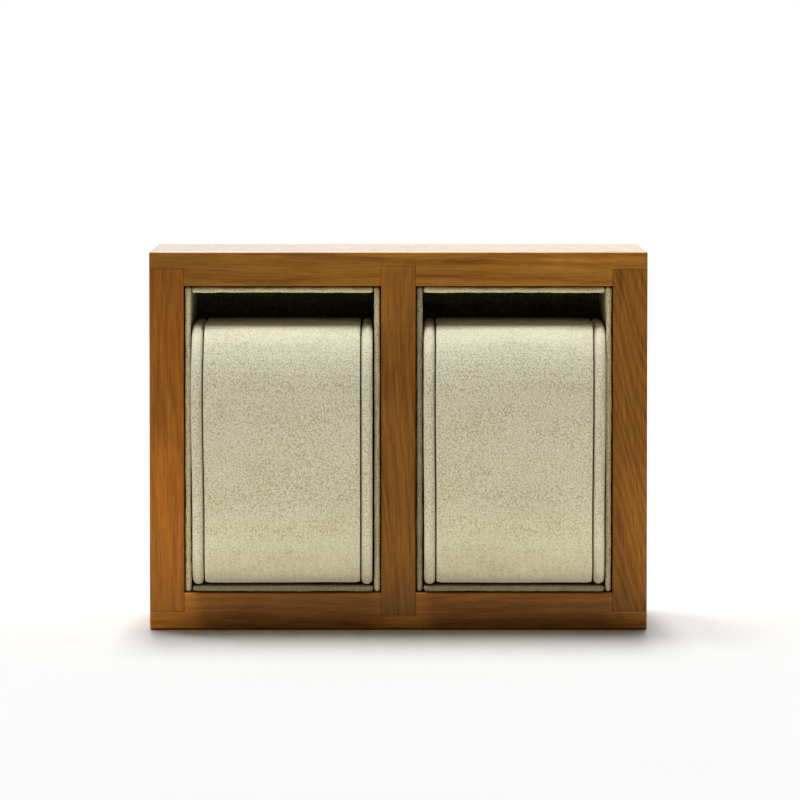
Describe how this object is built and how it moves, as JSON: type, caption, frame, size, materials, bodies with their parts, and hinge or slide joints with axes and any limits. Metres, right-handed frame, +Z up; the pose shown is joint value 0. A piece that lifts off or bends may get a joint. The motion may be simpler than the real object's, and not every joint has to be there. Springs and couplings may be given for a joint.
{
  "type": "watch stand",
  "caption": "Upright open-fronted wooden stand with side-by-side bays, each lined with suede-like fabric and holding a loose watch cushion.",
  "frame": {"origin": "on the floor, at the middle of the footprint with the cushions' bulging fronts counted in", "axes": "+X along the width to the viewer's right, +Y from the open front to the back, +Z up"},
  "size_m": [0.13, 0.066, 0.099],
  "materials": {
    "wood": "warm mid-brown wood with fine straight grain, satin",
    "liner_suede": "cream suede-like microfibre over card",
    "cushion_suede": "cream suede-like microfibre with a fine speckled nap"
  },
  "bodies": {
    "root": {"top_board": "wood", "bottom_board": "wood", "left_side": "wood", "right_side": "wood", "centre_divider": "wood", "back_panel": "wood", "left_top_liner": "liner_suede", "left_bottom_liner": "liner_suede", "left_left_liner": "liner_suede", "left_right_liner": "liner_suede", "left_back_liner": "liner_suede", "right_top_liner": "liner_suede", "right_bottom_liner": "liner_suede", "right_left_liner": "liner_suede", "right_right_liner": "liner_suede", "right_back_liner": "liner_suede", "left_cushion_pad": "cushion_suede", "left_cushion_left_cheek": "cushion_suede", "left_cushion_right_cheek": "cushion_suede", "right_cushion_pad": "cushion_suede", "right_cushion_left_cheek": "cushion_suede", "right_cushion_right_cheek": "cushion_suede"}
  },
  "joints": []
}
